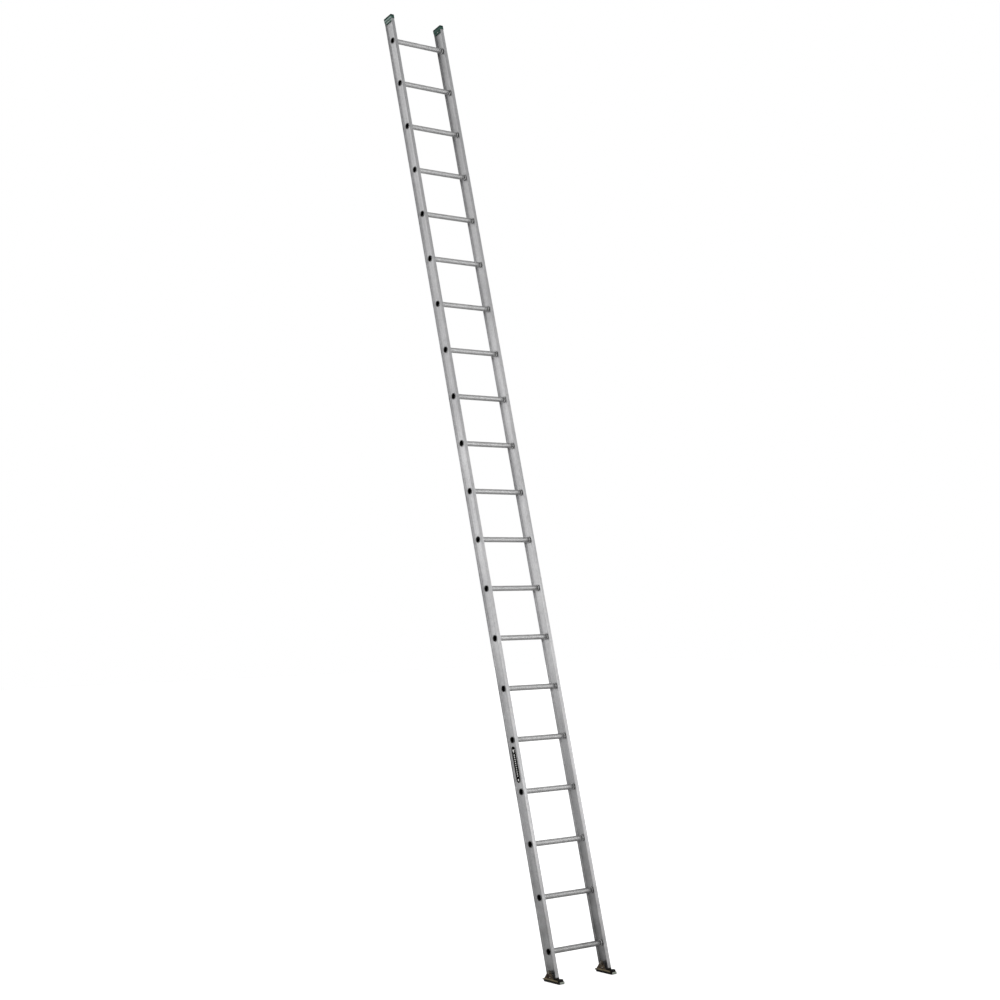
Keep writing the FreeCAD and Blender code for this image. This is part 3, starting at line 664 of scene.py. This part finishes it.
def black_enamel(settings):
    """Satin enamel of the name plate, worn through at its edge."""
    material, tree, surface, place = new_material("Black Enamel")
    cloud = effect(tree, "Mottle", Vector=place, Scale=20.0, Contrast=0.8)
    rubbed = effect(tree, "Edge Wear", Vector=place, Radius=settings.wear_radius * 0.4, Break_Up=260.0)
    lifted = [c * 1.8 for c in settings.enamel]
    base = blend(tree, cloud["Cloud"], settings.enamel, lifted)
    base = layer(tree, cloud["Speck"], 0.03, base, settings.dust)
    base = layer(tree, rubbed["Mask"], 0.4, base, settings.print_white)
    link(tree, base, surface.inputs["Base Color"])
    link(tree, remap(tree, cloud["Cloud"], 0.0, 1.0, 0.45, 0.6), surface.inputs["Roughness"])
    surface.inputs["Specular IOR Level"].default_value = 0.0
    bump(tree, surface, cloud["Speck"], distance=0.00005, strength=0.3)
    return material


def plate_print(settings):
    """Bare raised marks of the name plate."""
    material, tree, surface, place = new_material("Plate Print")
    cloud = effect(tree, "Mottle", Vector=place, Scale=40.0, Contrast=0.7)
    dull = [c * 0.8 for c in settings.print_white]
    base = blend(tree, cloud["Cloud"], settings.print_white, dull)
    base = layer(tree, cloud["Speck"], 0.3, base, PLATE_SPECK)
    link(tree, base, surface.inputs["Base Color"])
    link(tree, remap(tree, cloud["Cloud"], 0.0, 1.0, 0.35, 0.5), surface.inputs["Roughness"])
    bump(tree, surface, cloud["Speck"], distance=0.00004, strength=0.3)
    return material


# ---------------------------------------------------------------- name plate marks

# Metres. The marks start inside the plate and end above its sunk enamel field.
ROOT_SHARE = 0.45
FIELD_DEPTH = 0.00035
RIM_SETBACK = 0.0003
MARK_BEVEL = 0.0001
WEDGE_HALF = 0.0115
WEDGE_POINT = -0.001
WEDGE_TAIL = 0.002
WEDGE_NOTCH = 0.003
WEDGE_REACH = 0.024
WEDGE_GAP = 0.028
BAR_LEAN = 0.0012
DOT_GAP = 0.016
DOT_DROP = 0.001
DOT_RADIUS = 0.006
DOT_SIDES = 24


def pill_outline(length, width, steps=16):
    """Points round a pill, length along v."""
    radius = width / 2
    reach = (length - width) / 2
    points = []
    for centre, start in ((reach, 0.0), (-reach, math.pi)):
        for i in range(steps + 1):
            angle = start + math.pi * i / steps
            points.append((radius * math.cos(angle), centre + radius * math.sin(angle)))
    return points


def raised(mesh, outline, bottom, top, inset):
    """A closed low block with a bevelled upper edge; outline is counter-clockwise (u, v)."""
    count = len(outline)
    middle_u = sum(p[0] for p in outline) / count
    middle_v = sum(p[1] for p in outline) / count
    loops = []
    for height, pull in ((bottom, 0.0), (top - inset, 0.0), (top, inset)):
        loop = []
        for u, v in outline:
            reach = math.hypot(u - middle_u, v - middle_v)
            shrink = 1 - pull / reach
            loop.append(mesh.verts.new((middle_u + (u - middle_u) * shrink,
                                        middle_v + (v - middle_v) * shrink, height)))
        loops.append(loop)
    mesh.faces.new(list(reversed(loops[0])))
    for low, high in zip(loops, loops[1:]):
        for i in range(count):
            j = (i + 1) % count
            mesh.faces.new((low[i], low[j], high[j], high[i]))
    mesh.faces.new(loops[-1])


def raised_ring(mesh, outer, inner, bottom, top):
    """A closed flat ring between two outlines with the same number of points."""
    count = len(outer)
    loops = [[mesh.verts.new((u, v, z)) for u, v in outline]
             for outline, z in ((outer, bottom), (outer, top), (inner, top), (inner, bottom))]
    for k in range(4):
        low, high = loops[k], loops[(k + 1) % 4]
        for i in range(count):
            j = (i + 1) % count
            mesh.faces.new((low[i], low[j], high[j], high[i]))


def piece_from(mesh, name, placement, material, body):
    """A finished mesh becomes a piece that rides on a body."""
    bmesh.ops.recalc_face_normals(mesh, faces=mesh.faces)
    data = bpy.data.meshes.new(name)
    mesh.to_mesh(data)
    mesh.free()
    data.transform(placement)
    piece = bpy.data.objects.new(name, data)
    bpy.context.scene.collection.objects.link(piece)
    data.materials.append(material)
    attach(piece, body)
    return piece


# ---------------------------------------------------------------- operators

class LADDER_OT_finish_rails(bpy.types.Operator):
    """Drawn aluminium finish on both rails"""

    bl_idname = "ladder.finish_rails"
    bl_label = "Finish Rails"

    def execute(self, context):
        settings = context.scene.ladder_finish
        material = aluminium("Rail Aluminium", settings.rail_light, settings.rail_dark,
                             roughness=settings.metal_roughness, axis=along_rail, across=620.0,
                             wear=settings.wear_radius, reach=0.026, soot_and_shade=0.32, least=0.35,
                             bottom_dark=0.6, mouth_shade=True, inside_shade=0.8)
        finish_node(["rail_" + side for side in SIDES], material)
        return {"FINISHED"}


class LADDER_OT_finish_rungs(bpy.types.Operator):
    """Ribbed aluminium finish on every rung"""

    bl_idname = "ladder.finish_rungs"
    bl_label = "Finish Rungs"

    def execute(self, context):
        settings = context.scene.ladder_finish
        material = aluminium("Rung Aluminium", settings.rung_light, settings.rung_dark,
                             roughness=settings.metal_roughness + 0.06, axis=along_x, across=800.0,
                             wear=settings.wear_radius, reach=0.032, soot_and_shade=1.0, full_at=0.58,
                             least=0.9, bottom_dark=0.5, mouth_shade=True)
        finish_node([name for name in NODES if name.startswith("rung_")], material)
        return {"FINISHED"}


class LADDER_OT_finish_caps(bpy.types.Operator):
    """Moulded green finish on the end caps"""

    bl_idname = "ladder.finish_caps"
    bl_label = "Finish End Caps"

    def execute(self, context):
        settings = context.scene.ladder_finish
        finish_node(["top_cap_" + side for side in SIDES], moulded_green(settings))
        return {"FINISHED"}


class LADDER_OT_finish_shoes(bpy.types.Operator):
    """Yellow zinc brackets and rubber soles"""

    bl_idname = "ladder.finish_shoes"
    bl_label = "Finish Shoes"

    def execute(self, context):
        settings = context.scene.ladder_finish
        finish_node(["shoe_bracket_" + side for side in SIDES], yellow_zinc(settings))
        finish_node(["shoe_pad_" + side for side in SIDES], sole_rubber(settings))
        return {"FINISHED"}


class LADDER_OT_finish_fasteners(bpy.types.Operator):
    """Rivets, pivot bolts, nuts, washers and spacers"""

    bl_idname = "ladder.finish_fasteners"
    bl_label = "Finish Fasteners"

    def execute(self, context):
        settings = context.scene.ladder_finish
        rivets = ["top_cap_rivets"]
        plated, spacers = [], []
        for side in SIDES:
            rivets += ["shoe_pad_rivets_" + side, "shoe_ear_rivets_" + side]
            plated += [kind + side for kind in ("pivot_bolt_", "pivot_nut_", "pivot_washers_")]
            spacers.append("pivot_spacers_" + side)
        finish_node(rivets, bright_rivet(settings))
        finish_node(plated, plated_steel(settings))
        finish_node(spacers, nylon(settings))
        return {"FINISHED"}


class LADDER_OT_build_plate(bpy.types.Operator):
    """Enamel finish and plain raised marks on the name plate"""

    bl_idname = "ladder.build_plate"
    bl_label = "Build Name Plate"

    def execute(self, context):
        finish, settings = context.scene.ladder_finish, context.scene.ladder_plate
        finish_node(["name_plate"], black_enamel(finish))
        low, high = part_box("name_plate")
        span_y, span_z = high.y - low.y, high.z - low.z
        straight = (span_z - span_y) / (math.cos(LEAN) - math.sin(LEAN))
        width = span_y - straight * math.sin(LEAN)
        length = straight + width
        middle = (low + high) / 2
        face = Vector((low.x, middle.y, middle.z))
        out = Vector((-1, 0, 0))
        facing = Matrix((RAIL_UP.cross(out), RAIL_UP, out)).transposed().to_4x4()
        placement = Matrix.Translation(face) @ facing

        buried = (low.x - high.x) * ROOT_SHARE
        crest = 2 * settings.relief - FIELD_DEPTH
        mesh = bmesh.new()
        raised_ring(mesh, pill_outline(length - RIM_SETBACK, width - RIM_SETBACK),
                    pill_outline(length - 2 * settings.rim, width - 2 * settings.rim),
                    buried, settings.relief)
        reach = (length - width) / 2
        wedge = [(-WEDGE_HALF, reach + WEDGE_TAIL), (WEDGE_POINT, reach - WEDGE_REACH),
                 (WEDGE_HALF, reach + WEDGE_TAIL), (0.0, reach - WEDGE_NOTCH)]
        raised(mesh, wedge, buried, crest, MARK_BEVEL)
        draw = random.Random(7)
        tall = settings.bar_height / 2
        start, stop = DOT_GAP - reach, reach - WEDGE_GAP
        step = (stop - start) / settings.bars
        for i in range(settings.bars):
            centre = start + (i + 0.5) * step
            half = step * draw.uniform(0.24, 0.36)
            lean = draw.uniform(-BAR_LEAN, BAR_LEAN)
            bar = [(-tall, centre - half + lean), (tall, centre - half - lean),
                   (tall, centre + half - lean), (-tall, centre + half + lean)]
            raised(mesh, bar, buried, crest, MARK_BEVEL)
        turns = (2 * math.pi * i / DOT_SIDES for i in range(DOT_SIDES))
        dot = [(DOT_RADIUS * math.cos(turn), DOT_RADIUS * math.sin(turn) - reach - DOT_DROP)
               for turn in turns]
        raised(mesh, dot, buried, crest, MARK_BEVEL)
        piece_from(mesh, "name_plate_print", placement, plate_print(finish), "ladder")
        return {"FINISHED"}


# Places and sizes in metres. HEIGHT_GLOW runs from straight down, 0, to straight up, 1.
FLOOR_CLOUD = 0.985
SENSOR_WIDTH = 36.0
FAR_CLIP = 200.0
AROUND_GLOW = (0.87, 1.04)
HEIGHT_GLOW = ((0.0, 0.30), (0.375, 0.46), (0.46, 0.98), (0.515, 1.28), (0.575, 0.66), (0.65, 0.92),
               (0.715, 1.06), (0.79, 0.38), (1.0, 0.90))
KEY_AT, KEY_SIZE = Vector((-5.5, -5.0, 5.5)), (4.5, 6.5)
FILL_AT, FILL_SIZE = Vector((6.5, -3.5, 3.0)), (4.0, 6.0)
WAIST_OFF, WAIST_SIZE = Vector((-2.6, 3.3, 0.0)), (2.4, 2.2)
RUNG_OFF, RUNG_SIZE = Vector((4.4, -5.5, -0.2)), (3.4, 1.0)
LEVEL_OFF, LEVEL_SIZE = Vector((-8.1, -10.1, 0.0)), (3.0, 1.8)


class LADDER_OT_build_stage(bpy.types.Operator):
    """Pale floor, soft lights and the camera"""

    bl_idname = "ladder.build_stage"
    bl_label = "Build Stage"

    def execute(self, context):
        settings = context.scene.ladder_studio
        middle = (CAD_BOX[0] + CAD_BOX[1]) / 2
        self.floor(settings, middle)
        self.world(context, settings)
        self.light("Key Softbox", settings.key, KEY_AT, middle, KEY_SIZE)
        self.light("Fill Softbox", settings.fill, FILL_AT, middle, FILL_SIZE)
        self.light("Waist Softbox", settings.waist, middle + WAIST_OFF, middle, WAIST_SIZE)
        self.light("Rung Softbox", settings.rungs, middle + RUNG_OFF, middle, RUNG_SIZE)
        self.light("Level Softbox", settings.level, middle + LEVEL_OFF, middle, LEVEL_SIZE)
        self.camera(context, settings, middle)
        return {"FINISHED"}

    def floor(self, settings, middle):
        """A wide pale floor under the ladder, lifted in tone where the camera sees it."""
        half = settings.floor_size / 2
        mesh = bmesh.new()
        corners = [(-half, -half), (half, -half), (half, half), (-half, half)]
        mesh.faces.new([mesh.verts.new((x, middle.y + y, 0.0)) for x, y in corners])
        data = bpy.data.meshes.new("Floor")
        mesh.to_mesh(data)
        mesh.free()
        floor = bpy.data.objects.new("Floor", data)
        bpy.context.scene.collection.objects.link(floor)
        material, tree, surface, place = new_material("Pale Floor")
        cloud = effect(tree, "Mottle", Vector=place, Scale=0.6, Contrast=0.3)
        shade = [c * FLOOR_CLOUD for c in settings.floor_colour]
        tone = blend(tree, cloud["Cloud"], settings.floor_colour, shade)
        link(tree, tone, surface.inputs["Base Color"])
        surface.inputs["Roughness"].default_value = 0.85
        surface.inputs["Emission Color"].default_value = WHITE
        path = tree.nodes.new("ShaderNodeLightPath")
        glow = math_node(tree, "MULTIPLY", path.outputs["Is Camera Ray"], settings.floor_glow)
        link(tree, glow, surface.inputs["Emission Strength"])
        data.materials.append(material)

    def world(self, context, settings):
        """A plain bright backdrop that lights the metal in bands by height."""
        world = bpy.data.worlds.new("Studio")
        context.scene.world = world
        world.use_nodes = True
        tree = world.node_tree
        tree.nodes.clear()
        place = tree.nodes.new("ShaderNodeTexCoord")
        height = add(tree, "ShaderNodeSeparateXYZ", None, i0=place.outputs["Generated"])
        ramp = tree.nodes.new("ShaderNodeValToRGB")
        stops = ramp.color_ramp.elements
        for index, (spot, value) in enumerate(HEIGHT_GLOW):
            stop = stops[index] if index < 2 else stops.new(spot)
            stop.position = spot
            stop.color = (value, value, value, 1.0)
        link(tree, remap(tree, height.outputs["Z"], -1.0, 1.0), ramp.inputs[0])
        toward = (-math.sin(settings.azimuth), math.cos(settings.azimuth), 0.0)
        tilt = remap(tree, along(tree, place.outputs["Generated"], toward), -1.0, 1.0, *AROUND_GLOW)
        soft = add(tree, "ShaderNodeBackground", None, Color=ramp.outputs[0], Strength=tilt)
        seen = add(tree, "ShaderNodeBackground", None, Color=WHITE, Strength=settings.sky)
        path = tree.nodes.new("ShaderNodeLightPath")
        mix = add(tree, "ShaderNodeMixShader", None, i0=path.outputs["Is Camera Ray"],
                  i1=soft.outputs[0], i2=seen.outputs[0])
        end = tree.nodes.new("ShaderNodeOutputWorld")
        link(tree, mix.outputs[0], end.inputs["Surface"])

    def light(self, name, power, place, target, size):
        """A rectangular softbox turned to a target."""
        data = bpy.data.lights.new(name, "AREA")
        data.shape = "RECTANGLE"
        data.size, data.size_y = size
        data.energy = power
        lamp = bpy.data.objects.new(name, data)
        lamp.location = place
        lamp.rotation_mode = "QUATERNION"
        lamp.rotation_quaternion = (target - place).to_track_quat("-Z", "Y")
        bpy.context.scene.collection.objects.link(lamp)

    def camera(self, context, settings, middle):
        """The camera, placed by its heading and distance from the middle of the ladder."""
        data = bpy.data.cameras.new("Camera")
        data.lens = settings.lens
        data.sensor_width = SENSOR_WIDTH
        data.clip_end = FAR_CLIP
        camera = bpy.data.objects.new("Camera", data)
        context.scene.collection.objects.link(camera)
        level = math.cos(settings.pitch)
        ahead = Vector((math.sin(settings.azimuth) * level, math.cos(settings.azimuth) * level,
                        math.sin(settings.pitch)))
        camera.location = middle + Vector(settings.aim) - ahead * settings.distance
        camera.rotation_mode = "QUATERNION"
        tilt = Quaternion((0, 0, 1), -settings.roll)
        camera.rotation_quaternion = ahead.to_track_quat("-Z", "Y") @ tilt
        context.scene.camera = camera


class LADDER_PT_sidebar(bpy.types.Panel):
    """Ladder tools"""

    bl_idname = "LADDER_PT_sidebar"
    bl_label = "Ladder"
    bl_space_type = "VIEW_3D"
    bl_region_type = "UI"
    bl_category = "Ladder"

    def draw(self, context):
        """Every setting, then a button for every step."""
        for settings in (getattr(context.scene, name) for name in SETTINGS):
            box = self.layout.box()
            for name in settings.__annotations__:
                box.prop(settings, name)
        for operator in STEPS:
            self.layout.operator(operator.bl_idname)


STEPS = (
    LADDER_OT_finish_rails,
    LADDER_OT_finish_rungs,
    LADDER_OT_finish_caps,
    LADDER_OT_finish_shoes,
    LADDER_OT_finish_fasteners,
    LADDER_OT_build_plate,
    LADDER_OT_build_stage,
)
SETTINGS = {
    "ladder_finish": LadderFinishSettings,
    "ladder_plate": LadderPlateSettings,
    "ladder_studio": LadderStudioSettings,
}


def register():
    """Add the settings, the steps and the panel."""
    for group in SETTINGS.values():
        bpy.utils.register_class(group)
    for name, group in SETTINGS.items():
        setattr(bpy.types.Scene, name, PointerProperty(type=group))
    for item in (*STEPS, LADDER_PT_sidebar):
        bpy.utils.register_class(item)


def unregister():
    """Take them away in the opposite order."""
    for item in reversed((*STEPS, LADDER_PT_sidebar)):
        bpy.utils.unregister_class(item)
    for name, group in reversed(SETTINGS.items()):
        delattr(bpy.types.Scene, name)
        bpy.utils.unregister_class(group)


def main():
    """Run every step in order."""
    register()
    bpy.context.scene.view_settings.view_transform = "Standard"
    bpy.ops.ladder.finish_rails()
    bpy.ops.ladder.finish_rungs()
    bpy.ops.ladder.finish_caps()
    bpy.ops.ladder.finish_shoes()
    bpy.ops.ladder.finish_fasteners()
    bpy.ops.ladder.build_plate()
    bpy.ops.ladder.build_stage()


if __name__ == "__main__":
    main()
